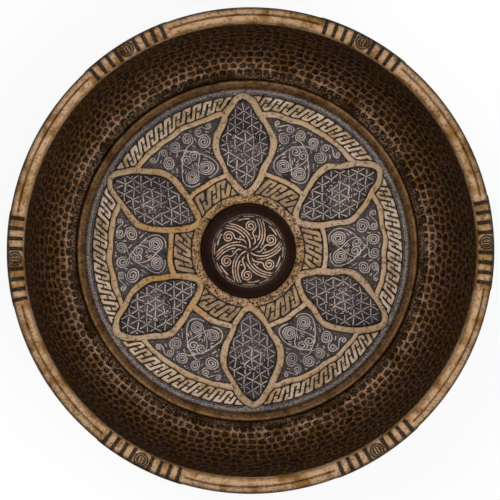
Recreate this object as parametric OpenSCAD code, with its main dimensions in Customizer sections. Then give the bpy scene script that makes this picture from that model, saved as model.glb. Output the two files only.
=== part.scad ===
// Bath bowl in inlaid metalwork: a raised shell with a brass rim band and a
// floor medallion of grey panels let into a brass lattice round a hollow boss.
// Millimetres. The origin is the centre of the base, with +Z up the bowl's axis.

/* [Bowl] */
// Overall diameter across the rim band
rim_d = 200; // [188:1:218]
// Overall height from the base to the top of the rim band
bowl_h = 50; // [44:1:60]
// Thickness of the bowl's metal
wall_t = 1.4; // [1:0.1:2]
// Height of the upright stretch of wall under the lip
wall_straight = 3; // [1.5:0.5:6]

/* [Rim band] */
// Radial width of the rim band
rim_w = 6.8; // [6:0.1:8]
// Height of the rim band above the lip
rim_h = 4.2; // [3.4:0.1:5.5]
// Rounding of the band's two upper edges
rim_round = 2; // [1:0.1:2.6]
// Thickness of the skirt that hooks over the edge of the lip
skirt_t = 1.6; // [1.2:0.1:2]
// Distance of the running groove from the band's inner edge
groove_in = 3.1; // [2.6:0.1:3.6]
// Width of the running groove at the band's top
groove_w = 1.4; // [0.8:0.1:2]
// Angle left plain between the running groove and a group of bars, in degrees
groove_stop = 1; // [0.5:0.25:2]
// Grooves on each side of the cartouche in a group of bars
bar_count = 4; // [2:1:5]
// Angle between neighbouring grooves of a group, in degrees
bar_pitch = 2.45; // [1.8:0.05:2.8]
// Width of one groove between two bars
bar_gap = 1.6; // [0.8:0.1:2]
// Depth of the grooves between bars
bar_depth = 0.7; // [0.4:0.1:0.9]

/* [Medallion] */
// Diameter of the medallion's plate and margin ring
medallion_d = 144; // [140:0.5:148]
// Thickness of the backing plate
plate_t = 0.8; // [0.6:0.1:1.4]
// Thickness of the inlaid panels and of the margin ring
panel_t = 1; // [0.8:0.1:1.5]
// Height of the strapwork above the backing plate
strap_h = 1.6; // [1.2:0.1:2.2]
// Width of the plain margin ring
margin_w = 3.4; // [3:0.1:4.4]
// Width of the bezel ring
bezel_w = 3.9; // [3:0.1:5]
// Height of the bezel ring above its seat
bezel_h = 1.9; // [1.2:0.1:2.6]
// Lap of the bezel ring over the margin ring
bezel_lap = 0.5; // [0.3:0.1:0.8]

/* [Strapwork] */
// Width of the petal straps
petal_strap_w = 3; // [2:0.1:3.6]
// Half width of a petal at its widest, on the strap's centre line
petal_half_w = 12.7; // [10:0.1:14]
// Half width of a petal at its waists, half way from the widest place to its two ends
petal_waist_w = 8.7; // [7:0.1:10]
// Distance from a petal's tip back to its widest place
petal_shoulder = 21.1; // [17:0.1:24]
// Radial width of the outer fret band
outer_fret_w = 6.9; // [5.5:0.1:8.5]
// Width of the outer arc straps
outer_arc_w = 2.6; // [2:0.1:3.6]
// Radial width of the inner fret band
inner_fret_w = 8.4; // [7:0.1:10]
// Width of the inner arc straps
inner_arc_w = 2.4; // [1.6:0.1:3]
// Width of the strap ring round the boss
ring_w = 3.4; // [3.2:0.1:4.4]
// Step of a petal's foot outwards from the strap ring, on the centre line
petal_foot = 0.5; // [0:0.1:0.9]
// Step of a petal's tip inwards from the margin ring, on the centre line
petal_tip = 0.5; // [0:0.1:0.9]
// Diameter of the raised roundel on a petal panel
roundel_d = 12.2; // [8:0.1:14]
// Height of that roundel above its panel
roundel_h = 0.3; // [0.2:0.1:0.6]

/* [Boss] */
// Diameter of the boss at its foot
boss_d = 42.2; // [38:0.2:46]
// Height of the boss above the bowl's floor
boss_h = 12.2; // [11.4:0.2:16]
// Thickness of the boss's metal
boss_t = 1.5; // [1:0.1:2]
// Rounding of the boss's shoulder
boss_round = 6.5; // [5.5:0.5:7.5]
// Radius of curvature of the boss's face
face_r = 45; // [40:1:60]
// Width of the foot flange under the strap ring
flange_w = 2.9; // [2:0.1:3.1]
// Diameter of the engraved disc let into the boss
disc_d = 32; // [28:0.5:33]
// Thickness of that disc at its edge
disc_edge = 0.8; // [0.5:0.1:1.2]

/* [Fits] */
// Clearance between pieces that are let into one another
fit_gap = 0.15; // [0.05:0.05:0.25]

/* [Hidden] */
petal_count = 6;
sector = 360 / petal_count;
petal_turn = sector / 2;
round_fn = 180;
arc_steps = 20;
petal_steps = 8;

// Levels, from the base upwards
floor_z = wall_t;
plate_z = floor_z + plate_t;
ledge_z = plate_z + panel_t;
lip_z = bowl_h - rim_h;
turn_z = lip_z - wall_straight;

// Radii of the rim, the lip and the seats in the floor
rim_r = rim_d / 2;
mouth_r = rim_r - rim_w;
lip_r = rim_r - skirt_t - fit_gap;
medallion_r = medallion_d / 2;
recess_r = medallion_r + fit_gap;
bezel_in = medallion_r - bezel_lap;
wall_foot_r = bezel_in + bezel_w + fit_gap;

// The wall is one arc in section, upright at the mouth and through the ledge's outer edge
wall_run = mouth_r - wall_foot_r;
wall_rise = turn_z - ledge_z;
wall_r = (wall_run ^ 2 + wall_rise ^ 2) / (2 * wall_run);
wall_c = [mouth_r - wall_r, turn_z];
foot_angle = asin(wall_rise / wall_r);

// Outside, the flat base rounds up into the wall where the wall's arc ends
heel = wall_c + (wall_r + wall_t) * [cos(foot_angle), -sin(foot_angle)];
base_round = heel.y / (1 - sin(foot_angle));
round_c = [heel.x - base_round * cos(foot_angle), base_round];

// The rings of the medallion, from the margin inwards and from the boss outwards
margin_in = medallion_r - margin_w;
outer_arc_out = margin_in - outer_fret_w;
outer_arc_in = outer_arc_out - outer_arc_w;
boss_r = boss_d / 2;
ring_in = boss_r + fit_gap;
ring_out = ring_in + ring_w;
inner_arc_in = ring_out + inner_fret_w;
inner_arc_out = inner_arc_in + inner_arc_w;
flange_r = boss_r + flange_w;
flange_t = plate_t - fit_gap;

// A petal's centre line runs round from its tip over the shoulder to its foot
tip_r = margin_in - petal_tip;
foot_r = ring_out + petal_foot;
belly_r = tip_r - petal_shoulder;
petal_curves = concat(petal_half(tip_r), [for (c = reversed(petal_half(foot_r))) reversed(c)]);
petal_edge = petal_strap_w / 2;

// The boss in section: upright side, round shoulder, shallow face
boss_top = floor_z + boss_h;
face_c = [0, boss_top - face_r];
shoulder_x = boss_r - boss_round;
shoulder_c = [shoulder_x, face_c.y + sqrt((face_r - boss_round) ^ 2 - shoulder_x ^ 2)];
shoulder_angle = atan2(shoulder_c.y - face_c.y, shoulder_x);
disc_r = disc_d / 2;
seat_r = disc_r + fit_gap;
seat_z = face_height(disc_r) - disc_edge;
ceiling_z = seat_z - boss_t;
ceiling_angle = asin((ceiling_z - shoulder_c.y) / (boss_round - boss_t));

// The rim's groups of bars
gap_angle = bar_gap / (mouth_r + rim_w / 2) * 180 / PI;
bar_reach = bar_count * bar_pitch + gap_angle / 2;

COPPER = "#4a3220";
BRASS = "#a9834f";
BRONZE = "#6f5a35";
PEWTER = "#7b6f69";
FRET = "#8b7766";

// Height of the boss's face at a distance from the axis
function face_height(r) = face_c.y + sqrt(face_r ^ 2 - r ^ 2);

// Points along an arc about c from angle a0 to angle a1
function arc(c, r, a0, a1) = [
    for (i = [0:arc_steps])
        let (a = a0 + (a1 - a0) * i / arc_steps)
            c + r * [cos(a), sin(a)]
];

function reversed(list) = [for (i = [len(list) - 1:-1:0]) list[i]];

// Half of a petal's side: blunt end, waist, shoulder; the shares set how full its two curves are
function petal_half(end_r) =
    let (
        run = belly_r - end_r,
        waist_r = end_r + run / 2,
        rise = petal_half_w - petal_waist_w
    )
    [
        [
            [end_r, 0],
            [end_r, 0.36 * petal_waist_w],
            [waist_r - 0.2 * run, petal_waist_w - 0.4 * rise],
            [waist_r, petal_waist_w]
        ],
        [
            [waist_r, petal_waist_w],
            [waist_r + 0.12 * run, petal_waist_w + 0.24 * rise],
            [belly_r - 0.22 * run, petal_half_w],
            [belly_r, petal_half_w]
        ]
    ];

// A point on a cubic curve, and the direction in which the curve runs there
function curve_point(c, t) =
    (1 - t) ^ 3 * c[0] + 3 * (1 - t) ^ 2 * t * c[1] + 3 * (1 - t) * t ^ 2 * c[2] + t ^ 3 * c[3];
function curve_way(c, t) =
    let (way = (1 - t) ^ 2 * (c[1] - c[0]) + 2 * (1 - t) * t * (c[2] - c[1]) + t ^ 2 * (c[3] - c[2]))
        way / norm(way);

// One side of a petal's outline between its ends, a distance out from the strap's centre line
function petal_side(out) = [
    for (c = petal_curves)
        for (i = [1:petal_steps])
            let (
                way = curve_way(c, i / petal_steps),
                p = curve_point(c, i / petal_steps) + out * [way.y, -way.x]
            )
            if (p.y > 0) p
];

// A petal's whole outline, at its own angle
module petal(k, out) {
    side = petal_side(out);
    rotate(petal_turn + sector * k)
        polygon(concat(
            [[tip_r + out, 0]],
            side,
            [[foot_r - out, 0]],
            [for (p = reversed(side)) [p.x, -p.y]]
        ));
}

module petals(out) {
    for (k = [1:petal_count])
        petal(k, out);
}

module ring(inner, outer) {
    difference() {
        circle(outer, $fn = round_fn);
        circle(inner, $fn = round_fn);
    }
}

// The part of a ring between petal k and the next one
module field(k, inner, outer) {
    reach = 2 * medallion_r;
    corners = [for (a = [0, sector / 2, sector]) reach * [cos(a), sin(a)]];
    difference() {
        intersection() {
            ring(inner, outer);
            rotate(petal_turn + sector * k)
                polygon(concat([[0, 0]], corners));
        }
        petal(k, petal_edge + fit_gap);
        petal(k + 1, petal_edge + fit_gap);
    }
}

// A panel of the given outline, lying on the backing plate
module panel(height) {
    translate([0, 0, plate_z])
        linear_extrude(height)
            children();
}

module turned(section) {
    rotate_extrude($fn = round_fn)
        polygon(section);
}

// Raised shell: base, wall, lip, ledge for the bezel, recess for the medallion
module bowl_body() {
    hole_r = boss_r - boss_t;
    color(COPPER)
        turned(concat(
            [[hole_r, 0]],
            arc(round_c, base_round, -90, -foot_angle),
            arc(wall_c, wall_r + wall_t, -foot_angle, 0),
            [
                [mouth_r + wall_t, lip_z - wall_t],
                [lip_r, lip_z - wall_t],
                [lip_r, lip_z],
                [mouth_r, lip_z]
            ],
            arc(wall_c, wall_r, 0, -foot_angle),
            [
                [recess_r, ledge_z],
                [recess_r, floor_z],
                [hole_r, floor_z]
            ]
        ));
}

// Section of the rim band: rounded bar with a skirt behind the lip
module band_section() {
    straight_h = rim_h - rim_round;
    translate([mouth_r, lip_z])
        square([rim_w, straight_h]);
    translate([mouth_r + rim_round, lip_z])
        square([rim_w - 2 * rim_round, rim_h]);
    for (r = [mouth_r + rim_round, rim_r - rim_round])
        translate([r, bowl_h - rim_round])
            circle(rim_round, $fn = round_fn);
    translate([rim_r - skirt_t, lip_z - wall_t])
        square([skirt_t, wall_t + straight_h]);
}

// Grooves between the bars of one group, on both sides of its cartouche
module bar_grooves() {
    for (side = [-1, 1])
        for (i = [1:bar_count])
            rotate(side * i * bar_pitch)
                translate([mouth_r - bar_gap, -bar_gap / 2, bowl_h - bar_depth])
                    cube([rim_w + 2 * bar_gap, bar_gap, 2 * bar_depth]);
}

// Groove that runs round the band from one group of bars to the next
module running_groove() {
    start = bar_reach + groove_stop;
    rotate(start)
        rotate_extrude(angle = sector - 2 * start, $fn = round_fn)
            translate([mouth_r + groove_in, bowl_h])
                rotate(45)
                    square(groove_w / sqrt(2), center = true);
}

// Brass band over the lip
module rim_band() {
    color(BRASS)
        difference() {
            rotate_extrude($fn = round_fn)
                band_section();
            for (k = [1:petal_count])
                rotate(sector * k) {
                    bar_grooves();
                    running_groove();
                }
        }
}

// Half-round moulding on the ledge, lapping over the margin ring
module bezel_ring() {
    middle = [bezel_in + bezel_w / 2, ledge_z];
    color(BRONZE)
        turned([
            for (p = arc([0, 0], 1, 0, 180))
                middle + [p.x * bezel_w / 2, p.y * bezel_h]
        ]);
}

// Plain edge of the medallion, notched where the petal tips run into it
module margin_ring() {
    color(PEWTER)
        panel(panel_t)
            difference() {
                ring(margin_in, medallion_r);
                petals(petal_edge + fit_gap);
            }
}

// Backing plate on the bowl's floor, open for the boss's flange
module medallion_plate() {
    color(BRONZE)
        translate([0, 0, floor_z])
            linear_extrude(plate_t)
                ring(flange_r + fit_gap, medallion_r);
}

// Brass lattice: petal frames, arcs that tie them together, ring round the boss
module strapwork() {
    color(BRASS)
        panel(strap_h)
            union() {
                difference() {
                    union() {
                        ring(outer_arc_in, outer_arc_out);
                        ring(inner_arc_in, inner_arc_out);
                        petals(petal_edge);
                    }
                    petals(-petal_edge);
                }
                ring(ring_in, ring_out);
            }
}

module petal_panel(k) {
    color(PEWTER) {
        panel(panel_t)
            petal(k, -petal_edge - fit_gap);
        rotate(petal_turn + sector * k)
            translate([belly_r, 0, plate_z])
                cylinder(h = panel_t + roundel_h, d = roundel_d, $fn = round_fn);
    }
}

module scroll_panel(k) {
    color(PEWTER)
        panel(panel_t)
            field(k, inner_arc_out + fit_gap, outer_arc_in - fit_gap);
}

module outer_fret(k) {
    color(FRET)
        panel(panel_t)
            field(k, outer_arc_out + fit_gap, margin_in - fit_gap);
}

module inner_fret(k) {
    color(FRET)
        panel(panel_t)
            field(k, ring_out + fit_gap, inner_arc_in - fit_gap);
}

// Hollow dome, held down by the strap ring over its foot flange
module boss_cap() {
    color(COPPER)
        turned(concat(
            [[0, ceiling_z]],
            arc(shoulder_c, boss_round - boss_t, ceiling_angle, 0),
            [
                [boss_r - boss_t, floor_z],
                [flange_r, floor_z],
                [flange_r, floor_z + flange_t],
                [boss_r, floor_z + flange_t]
            ],
            arc(shoulder_c, boss_round, 0, shoulder_angle),
            arc(face_c, face_r, shoulder_angle, acos(seat_r / face_r)),
            [
                [seat_r, seat_z],
                [0, seat_z]
            ]
        ));
}

// Engraved disc, flat below and following the boss's face above
module boss_roundel() {
    color(BRONZE)
        turned(concat(
            [
                [0, seat_z],
                [disc_r, seat_z]
            ],
            arc(face_c, face_r, acos(disc_r / face_r), 90)
        ));
}

bowl_body();
rim_band();
bezel_ring();
margin_ring();
medallion_plate();
strapwork();
boss_cap();
boss_roundel();
for (k = [1:petal_count]) {
    petal_panel(k);
    scroll_panel(k);
    outer_fret(k);
    inner_fret(k);
}
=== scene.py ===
"""Dresses the solids of an inlaid bath bowl: hammered shell, chased rim, medallion and boss."""
import math
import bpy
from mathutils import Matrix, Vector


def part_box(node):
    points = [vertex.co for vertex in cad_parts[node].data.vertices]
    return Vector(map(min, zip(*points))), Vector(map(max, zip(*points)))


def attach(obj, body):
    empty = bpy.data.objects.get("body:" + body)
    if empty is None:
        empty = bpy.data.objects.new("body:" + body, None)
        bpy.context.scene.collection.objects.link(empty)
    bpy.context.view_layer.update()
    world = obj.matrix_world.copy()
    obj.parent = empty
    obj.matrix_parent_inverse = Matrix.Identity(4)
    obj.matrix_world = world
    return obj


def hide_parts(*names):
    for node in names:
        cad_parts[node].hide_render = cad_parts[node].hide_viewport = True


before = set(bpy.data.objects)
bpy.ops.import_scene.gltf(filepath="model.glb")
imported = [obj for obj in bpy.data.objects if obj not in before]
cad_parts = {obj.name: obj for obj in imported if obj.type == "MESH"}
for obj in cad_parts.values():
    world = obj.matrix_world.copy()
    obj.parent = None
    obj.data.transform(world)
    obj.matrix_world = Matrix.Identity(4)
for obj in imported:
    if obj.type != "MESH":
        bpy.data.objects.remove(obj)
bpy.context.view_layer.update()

from types import SimpleNamespace

import bmesh
import bpy
import numpy as np
from bpy.props import FloatProperty, FloatVectorProperty, IntProperty, PointerProperty
from bpy.types import NodeSocket, Operator, Panel, PropertyGroup
from mathutils import Matrix, Vector, noise
from mathutils.geometry import interpolate_bezier

bl_info = {
    "name": "Inlaid Bath Bowl",
    "version": (1, 0, 0),
    "blender": (4, 5, 0),
    "location": "View3D > Sidebar > Bath Bowl",
    "description": "Dresses the solids of an inlaid metal bath bowl",
    "category": "Add Mesh",
}

MM = 0.001
PETALS = 6
SECTOR = math.tau / PETALS
SEED = 11
WELD = 0.002 * MM
# Clear edge round the chased work of a panel, and the height of its lines' middles above the ground
CHASE_INSET = 0.45 * MM
LINE_LIFT = 0.2 * MM


def length(name, description, millimetres):
    """A length in metres that a user may change."""
    return FloatProperty(
        name=name, description=description, default=millimetres * MM, min=0.0, precision=5, unit="LENGTH"
    )


def linear(value):
    """A display value from 0 to 255 as linear light."""
    share = value / 255
    return share / 12.92 if share <= 0.04045 else ((share + 0.055) / 1.055) ** 2.4


def colour(name, description, *display):
    """A finish colour, written in display values."""
    shade = tuple(linear(value) for value in display)
    return FloatVectorProperty(
        name=name, description=description, default=shade, min=0.0, max=1.0, size=3, subtype="COLOR"
    )


class BathBowlSizes(PropertyGroup):
    """Sizes of the bowl that its solids don't show by their boxes, and of its ornament."""

    rim_width: length("Rim width", "Radial width of the rim band", 6.8)
    rim_round: length("Rim rounding", "Rounding of the band's upper edges", 2.0)
    skirt: length("Skirt", "Thickness of the skirt behind the lip", 1.6)
    groove_in: length("Groove place", "Distance of the running groove from the band's inner edge", 3.2)
    groove_depth: length("Groove depth", "Depth of the running groove", 0.8)
    bar_count: IntProperty(name="Bars", description="Gaps on each side of a cartouche", default=4, min=1)
    bar_pitch: FloatProperty(
        name="Bar pitch",
        description="Angle between neighbouring gaps",
        default=math.radians(2.45),
        min=0.0,
        subtype="ANGLE",
    )
    bar_depth: length("Gap depth", "Depth of the gaps between bars", 0.75)
    wall: length("Wall", "Thickness of the shell", 1.4)
    wall_straight: length("Upright wall", "Height of the upright stretch under the lip", 3.0)
    fit_gap: length("Fit gap", "Clearance between pieces that are let in", 0.15)
    dimple: length("Hammer mark", "Spacing of the hammer marks inside", 3.7)
    dimple_depth: length("Hammer depth", "Depth of the hammer marks inside", 0.5)
    facet: length("Outer hammer mark", "Spacing of the planished facets outside", 7.5)
    facet_depth: length("Outer hammer depth", "Depth of the facets outside", 0.16)
    bezel_width: length("Bezel width", "Radial width of the half-round moulding", 3.9)
    margin_width: length("Margin width", "Width of the plain ring at the medallion's edge", 3.4)
    petal_strap: length("Petal strap", "Width of the petal straps", 3.0)
    petal_half: length("Petal half width", "Half width of a petal at its widest, on its centre line", 12.7)
    petal_waist: length("Petal waist", "Half width of a petal at its two waists", 8.7)
    petal_shoulder: length("Petal shoulder", "Distance from a petal's tip to its widest place", 21.1)
    petal_foot: length("Petal foot", "Step of a petal's foot out from the strap ring", 0.5)
    petal_tip: length("Petal tip", "Step of a petal's tip in from the margin ring", 0.5)
    outer_fret: length("Outer fret", "Radial width of the outer fret band", 6.9)
    outer_arc: length("Outer arc", "Width of the outer arc straps", 2.6)
    inner_fret: length("Inner fret", "Radial width of the inner fret band", 8.4)
    inner_arc: length("Inner arc", "Width of the inner arc straps", 2.4)
    strap_ring: length("Strap ring", "Width of the strap ring round the boss", 3.4)
    hook_pitch: length("Hook pitch", "Spacing of the hooks along an outer fret", 4.7)
    inner_pitch: length("Inner hook pitch", "Spacing of the hooks along an inner fret", 5.05)
    sunk: length("Sunk ground", "Depth of the chased ground below the panels' tops", 0.4)
    relief: length("Relief", "Height of the chased work above its ground", 0.5)
    fret_line: length("Fret line", "Half width of the lines on the petal panels", 0.24)
    fret_column: length("Fret column", "Distance between columns of tripods", 3.65)
    fret_row: length("Fret row", "Distance between tripods along a column", 4.62)
    scroll_line: length("Scroll line", "Half width of the scroll lines", 0.24)
    roundel: length("Roundel", "Radius of the star roundel on a petal panel", 6.1)
    boss: length("Boss", "Radius of the boss at its foot", 21.1)
    boss_round: length("Boss shoulder", "Rounding of the boss's shoulder", 6.5)
    boss_wall: length("Boss wall", "Thickness of the boss's metal", 1.5)
    face: length("Boss face", "Radius of curvature of the boss's face", 45.0)
    rosette_line: length("Rosette line", "Half width of the lines on the boss's face", 0.38)


class BathBowlColours(PropertyGroup):
    """Finish colours of ridges, hollows and worn places; some hollow colours also serve as painted shade.
    """

    shell_ridge: colour("Shell ridges", "Ridges between the hammer marks", 204, 160, 126)
    shell_olive: colour("Shell tint", "Golden patches on the wall", 118, 80, 32)
    # Also painted shade at the foot of the wall and high on it
    shell_hollow_and_shade: colour("Shell hollows", "Bottoms of the hammer marks", 15, 6, 2)
    # Painted shade: the ridges high on the wall darken towards this colour
    shell_upper_shade: colour("Shell under the lip", "Darker patina high on the wall", 106, 70, 44)
    rim_ridge: colour("Rim brass", "Worn brass of the rim", 183, 147, 111)
    rim_warm: colour("Rim tint", "Golden streaks in the rim", 134, 94, 44)
    # Also painted shade on the bars' flanks and at the band's outer edge
    rim_hollow_and_shade: colour("Rim grooves", "Patina in the rim's grooves", 16, 7, 6)
    bezel_ridge: colour("Bezel", "Lit top of the half-round moulding", 152, 113, 72)
    bezel_warm: colour("Bezel tint", "Golden patina of the moulding", 108, 67, 15)
    # Also painted shade on the moulding's outer side and on the joint ring beside it
    bezel_hollow_and_shade: colour("Bezel edges", "Patina beside the moulding", 24, 11, 4)
    strap_ridge: colour("Straps", "Worn brass of the straps", 188, 160, 130)
    strap_warm: colour("Strap tint", "Orange wear on the straps", 172, 130, 76)
    # Painted shadow along the straps' edges, and wear
    strap_shade_and_wear: colour("Strap edges", "Patina along the straps' edges", 36, 22, 14)
    ring_worn: colour("Worn ring", "Rubbed brass of the ring round the boss", 186, 150, 116)
    grey_ridge: colour("Panel lines", "Raised lines of the grey panels", 209, 192, 181)
    # Also painted shadow on the margin's shadow strips
    grey_hollow_and_shadow: colour("Panel ground", "Sunk ground of the grey panels", 50, 42, 42)
    fret_ridge: colour("Fret hooks", "Pale brass of the hooks", 206, 181, 157)
    fret_warm: colour("Fret tint", "Golden wear on the hooks", 168, 140, 104)
    fret_inner: colour("Inner hooks", "Darker brass of the hooks round the boss", 139, 113, 91)
    fret_hollow: colour("Fret ground", "Dark ground between hooks", 12, 6, 5)
    boss_side: colour("Boss side", "Dark patina of the boss", 42, 15, 5)
    boss_line: colour("Boss lines", "Bright lines on the boss's face", 206, 172, 148)
    # Also painted shade towards the edge of the boss's face
    boss_ground_and_shade: colour("Boss ground", "Ground of the boss's face", 10, 5, 4)


def layout():
    """Radii and levels of the bowl, from the solids' boxes and the sizes."""
    sizes = bpy.context.scene.bath_bowl_sizes
    rim_low, rim_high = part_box("rim_band")
    shell_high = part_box("bowl_body")[1]
    bezel_low, bezel_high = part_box("bezel_ring")
    margin_low, margin_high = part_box("margin_ring")
    disc_low, disc_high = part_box("boss_roundel")
    lay = SimpleNamespace()
    lay.rim_r, lay.top_z, lay.skirt_z = rim_high.x, rim_high.z, rim_low.z
    lay.mouth_r = lay.rim_r - sizes.rim_width
    lay.lip_r, lay.lip_z = shell_high.x, shell_high.z
    lay.turn_z = lay.lip_z - sizes.wall_straight
    lay.bezel_r, lay.bezel_z, lay.ledge_z = bezel_high.x, bezel_high.z, bezel_low.z
    run = lay.mouth_r - (lay.bezel_r + sizes.fit_gap)
    rise = lay.turn_z - lay.ledge_z
    lay.wall_r = (run * run + rise * rise) / (2 * run)
    lay.wall_x = lay.mouth_r - lay.wall_r
    lay.foot_angle = math.asin(rise / lay.wall_r)
    lay.floor_z = sizes.wall
    lay.plate_z, lay.panel_z = margin_low.z, margin_high.z
    lay.ground_z = lay.panel_z - sizes.sunk
    lay.strap_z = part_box("strapwork")[1].z
    lay.medallion_r = margin_high.x
    lay.margin_in = lay.medallion_r - sizes.margin_width
    lay.outer_arc_out = lay.margin_in - sizes.outer_fret
    lay.outer_arc_in = lay.outer_arc_out - sizes.outer_arc
    lay.ring_in = sizes.boss + sizes.fit_gap
    lay.ring_out = lay.ring_in + sizes.strap_ring
    lay.inner_arc_in = lay.ring_out + sizes.inner_fret
    lay.inner_arc_out = lay.inner_arc_in + sizes.inner_arc
    lay.flange_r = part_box("boss_cap")[1].x
    lay.disc_r, lay.disc_z = disc_high.x, disc_low.z
    lay.face_z = disc_high.z - sizes.face
    lay.tip_r = lay.margin_in - sizes.petal_tip
    lay.petal_foot_r = lay.ring_out + sizes.petal_foot
    lay.belly_r = lay.tip_r - sizes.petal_shoulder
    return lay


def kit(context):
    """The sizes, the colours and the layout that an operator works with."""
    return context.scene.bath_bowl_sizes, context.scene.bath_bowl_colours, layout()


def ramp(low, high, value):
    """Smooth step from 0 at low to 1 at high, for numbers and arrays."""
    share = np.clip((value - low) / (high - low), 0.0, 1.0)
    return share * share * (3 - 2 * share)


def bell(value, width):
    """1 at zero, falling off on both sides over a width, for numbers and arrays."""
    return np.exp(-((value / width) ** 2))


def polar(radius, angle, height=0.0):
    """A place given by its distance and direction from the bowl's axis."""
    return Vector((radius * math.cos(angle), radius * math.sin(angle), height))


def radii(places):
    """Distances of places from the bowl's axis."""
    return np.hypot(places[:, 0], places[:, 1])


# Meshes


def spin(bm, geom, angle, steps):
    """Turns corners and edges about the bowl's axis and returns their last copies."""
    turned = bmesh.ops.spin(bm, geom=geom, axis=(0, 0, 1), cent=(0, 0, 0), angle=angle, steps=steps)
    return turned["geom_last"]


def spun(profile, steps, sectors=12):
    """A bmesh of a section in the XZ plane, closed or from axis to axis, turned sector by sector."""
    sector = bmesh.new()
    corners = [sector.verts.new((x, 0.0, z)) for x, z in profile]
    edges = [sector.edges.new(pair) for pair in zip(corners, corners[1:])]
    if profile[0][0] > 0:
        edges.append(sector.edges.new((corners[-1], corners[0])))
    spin(sector, corners + edges, math.tau / sectors, steps // sectors)
    return all_round(sector, sectors)


def all_round(sector, count):
    """Turned copies of a sector, joined into one closed ring."""
    bm = bmesh.new()
    for index in range(count):
        add_bmesh(bm, sector, math.tau * index / count)
    sector.free()
    bmesh.ops.remove_doubles(bm, verts=bm.verts, dist=WELD)
    bmesh.ops.recalc_face_normals(bm, faces=bm.faces)
    return bm


def arc(centre_x, centre_z, radius, start, end, steps):
    """Points of an arc in the XZ plane."""
    angles = [start + (end - start) * i / steps for i in range(steps + 1)]
    return [(centre_x + radius * math.cos(a), centre_z + radius * math.sin(a)) for a in angles]


def lattice(bm, columns, rows, place):
    """Adds a grid whose corners are put in place by a function of column and row."""
    for corner in bmesh.ops.create_grid(bm, x_segments=columns, y_segments=rows, size=1.0)["verts"]:
        column = round((corner.co.x + 1) / 2 * columns)
        row = round((corner.co.y + 1) / 2 * rows)
        corner.co = place(column, row)


def cap_ends(bm):
    """Fills open ends and points all faces outwards."""
    bmesh.ops.holes_fill(bm, edges=[e for e in bm.edges if e.is_boundary], sides=0)
    bmesh.ops.recalc_face_normals(bm, faces=bm.faces)


def close_up(bm):
    """Joins touching corners and fills open ends."""
    bmesh.ops.remove_doubles(bm, verts=bm.verts, dist=WELD)
    bmesh.ops.dissolve_degenerate(bm, edges=bm.edges, dist=WELD / 2)
    cap_ends(bm)


def add_ridges(bm, strokes, half_width, resolution, tip):
    """Adds round ridges that run along strokes and thin out at their ends to a share of their width."""
    curve = bpy.data.curves.new("stroke", "CURVE")
    curve.dimensions = "3D"
    curve.bevel_depth = half_width
    curve.bevel_resolution = resolution
    curve.use_fill_caps = True
    for stroke in strokes:
        spline = curve.splines.new("POLY")
        spline.points.add(len(stroke) - 1)
        for index, (point, place) in enumerate(zip(spline.points, stroke)):
            point.co = (*place, 1.0)
            point.radius = tip if index in (0, len(stroke) - 1) else 1.0
    holder = bpy.data.objects.new("stroke", curve)
    bpy.context.scene.collection.objects.link(holder)
    graph = bpy.context.evaluated_depsgraph_get()
    mesh = bpy.data.meshes.new_from_object(holder.evaluated_get(graph))
    bm.from_mesh(mesh)
    bpy.data.objects.remove(holder)
    bpy.data.curves.remove(curve)
    bpy.data.meshes.remove(mesh)


def lifted(strokes, height):
    """Flat strokes at a height."""
    return [[(p.x, p.y, height) for p in stroke] for stroke in strokes]


def add_bmesh(bm, other, angle=0.0):
    """Adds a copy of another bmesh, turned about the bowl's axis."""
    mesh = bpy.data.meshes.new("copy")
    other.to_mesh(mesh)
    mesh.transform(Matrix.Rotation(angle, 4, "Z"))
    bm.from_mesh(mesh)
    bpy.data.meshes.remove(mesh)


def solid_copy(node):
    """A joined-up copy of a CAD node's mesh."""
    bm = bmesh.new()
    bm.from_mesh(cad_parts[node].data)
    bmesh.ops.remove_doubles(bm, verts=bm.verts, dist=WELD / 2)
    return bm


def handmade(places):
    """Places on the medallion, moved a little sideways in slow waves, alike for all its pieces."""
    lay = layout()
    generator = np.random.default_rng(SEED)
    waves, shortest, longest = 9, 8, 17
    swing, easing = 0.16 * MM, 3 * MM
    out = radii(places)
    free = ramp(lay.ring_out - MM, lay.ring_out + easing, out)
    free *= 1 - ramp(lay.margin_in - easing, lay.margin_in, out)
    moved = places.copy()
    for _ in range(waves):
        way, phase, push = generator.uniform(0, math.tau, 3)
        wave = generator.uniform(shortest, longest) * MM
        along = places[:, 0] * math.cos(way) + places[:, 1] * math.sin(way)
        step = swing * free * np.sin(math.tau * along / wave + phase)
        moved[:, 0] += step * math.cos(push)
        moved[:, 1] += step * math.sin(push)
    return moved


def finish_piece(name, node, bm, relief, material, smooth_angle=40.0, sway=False):
    """Makes an object of a bmesh, in place of a CAD node, with a relief value at each corner, which sets
    its colour between hollow and ridge and also carries painted light and shade.
    """
    mesh = bpy.data.meshes.new(name)
    bm.to_mesh(mesh)
    bm.free()
    places = np.empty(len(mesh.vertices) * 3, np.float32)
    mesh.vertices.foreach_get("co", places)
    places = places.reshape(-1, 3).astype(float)
    values = relief(places) if callable(relief) else relief
    layer = mesh.attributes.new("relief", "FLOAT", "POINT")
    layer.data.foreach_set("value", np.asarray(values, np.float32))
    if sway:
        mesh.vertices.foreach_set("co", handmade(places).astype(np.float32).ravel())
        mesh.update()
    mesh.shade_smooth()
    mesh.set_sharp_from_angle(angle=math.radians(smooth_angle))
    mesh.materials.append(material)
    piece = bpy.data.objects.new(name, mesh)
    bpy.context.scene.collection.objects.link(piece)
    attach(piece, "root")
    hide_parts(node)
    return piece


def by_height(low, high):
    """Relief from the height of a corner between two levels."""
    return lambda places: ramp(low, high, places[:, 2])


# Finishes


def put(node, values):
    """Links or sets input sockets of a node."""
    for socket, value in values.items():
        if isinstance(value, NodeSocket):
            node.id_data.links.new(value, node.inputs[socket])
        else:
            node.inputs[socket].default_value = value


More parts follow.
